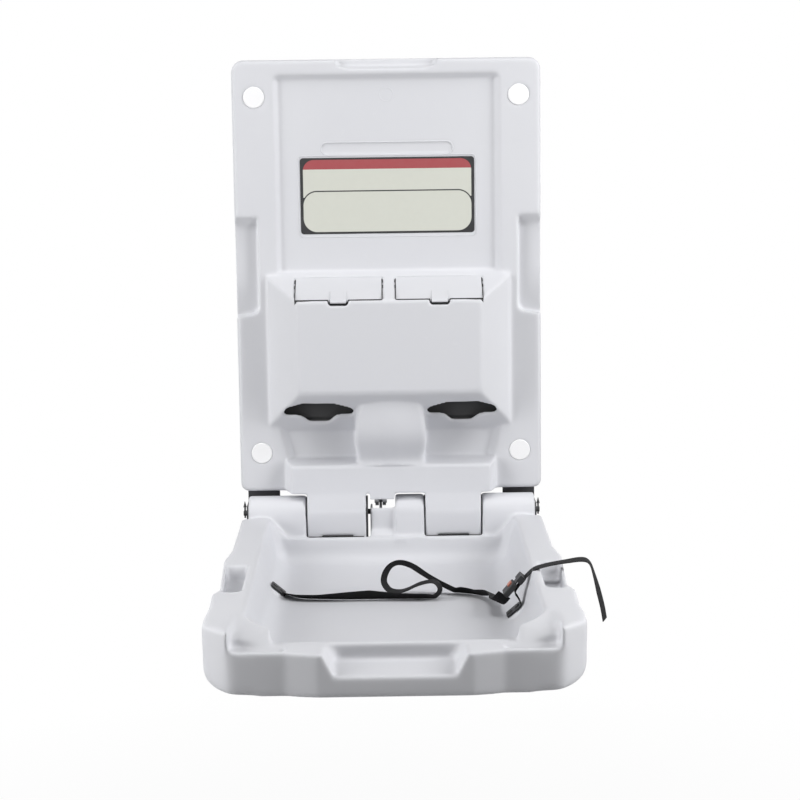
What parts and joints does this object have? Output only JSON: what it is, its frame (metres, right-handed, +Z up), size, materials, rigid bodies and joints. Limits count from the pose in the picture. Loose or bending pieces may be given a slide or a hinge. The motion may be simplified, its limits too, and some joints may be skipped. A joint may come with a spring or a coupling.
{
  "type": "wall-mounted baby changing table",
  "caption": "Vertical wall-mounted baby changing table: moulded casing with lidded liner dispensers, fold-down bed on a rod hinge with gas strut, and a safety strap with buckle.",
  "frame": {"origin": "centre of the rectangle of four wall screws, on the wall plane at the back of the casing", "axes": "+X to the viewer's right, +Y into the wall, so that the table stands out toward -Y, and +Z up"},
  "size_m": [0.6367, 0.883, 0.9531],
  "materials": {
    "casing_plastic": "fine-grained light grey moulded polyethylene",
    "bed_plastic": "fine-grained light grey moulded polyethylene",
    "lid_plastic": "fine-grained light grey moulded plastic",
    "cap_plastic": "smooth white plastic",
    "nylon": "black nylon",
    "white_nylon": "natural nylon",
    "rubber": "black rubber",
    "zinc_steel": "zinc-plated steel",
    "rail_paint": "black powder-coated steel",
    "strut_paint": "black painted tube",
    "chrome_rod": "hard chromed rod",
    "webbing": "black woven polypropylene webbing",
    "buckle_plastic": "black moulded acetal",
    "button_plastic": "dull orange-red moulded plastic"
  },
  "bodies": {
    "wall": {"wall_casing": "casing_plastic", "left_mounting_rail": "rail_paint", "right_mounting_rail": "rail_paint", "load_washers": "zinc_steel", "screw_caps": "cap_plastic", "knuckle_bushes": "white_nylon", "ear_bushes": "nylon", "stop_pads": "rubber", "lid_pins": "zinc_steel", "strut_upper_pin": "zinc_steel"},
    "left_lid": {"left_lid": "lid_plastic"},
    "right_lid": {"right_lid": "lid_plastic"},
    "strut_barrel": {"strut_barrel": "strut_paint", "strut_gland": "nylon"},
    "strut_rod": {"strut_rod": "chrome_rod", "strut_piston": "zinc_steel", "strut_clevis": "zinc_steel"},
    "bed": {"bed_shell": "bed_plastic", "hinge_rod": "zinc_steel", "rod_cotters": "zinc_steel", "hinge_crank": "zinc_steel", "crank_screws": "zinc_steel", "crank_pin": "zinc_steel", "strap_anchors": "buckle_plastic", "anchor_screws": "zinc_steel", "strap_left": "webbing", "strap_right": "webbing", "buckle_body": "buckle_plastic"},
    "buckle_button": {"buckle_button": "button_plastic"},
    "buckle_tongue": {"buckle_tongue": "buckle_plastic"}
  },
  "joints": [
    {"name": "bed_hinge", "type": "hinge", "parent": "wall", "child": "bed", "pos_m": [0, -0.052, -0.443], "axis": [-1, 0, 0], "range_deg": [0, 90], "deforming": ["strap_left"]},
    {"name": "left_lid_hinge", "type": "hinge", "parent": "wall", "child": "left_lid", "pos_m": [-0.092, -0.057, -0.00405], "axis": [-1, 0, 0], "range_deg": [0, 120]},
    {"name": "right_lid_hinge", "type": "hinge", "parent": "wall", "child": "right_lid", "pos_m": [0.092, -0.057, -0.00405], "axis": [-1, 0, 0], "range_deg": [0, 120]},
    {"name": "strut_pivot", "type": "hinge", "parent": "wall", "child": "strut_barrel", "pos_m": [-0.0205, -0.027, -0.19], "axis": [-1, 0, 0], "range_deg": [0, 0.988]},
    {"name": "strut_slide", "type": "slide", "parent": "strut_barrel", "child": "strut_rod", "axis": [0, -0.0127, -0.9999], "range_m": [0, 0.0393]},
    {"name": "buckle_button_press", "type": "slide", "parent": "bed", "child": "buckle_button", "axis": [0.766, 0, -0.6428], "range_m": [0, 0.002], "stiffness_N_per_m": 900, "springref_m": -0.0005},
    {"name": "buckle_tongue_slide", "type": "slide", "parent": "bed", "child": "buckle_tongue", "axis": [0.6428, 0, 0.766], "range_m": [0, 0.011]}
  ],
  "couplings": [
    {"joint": "strut_pivot", "follows": "bed_hinge", "ratio": 0.010422},
    {"joint": "strut_slide", "follows": "bed_hinge", "m_per_rad": 0.02489}
  ]
}
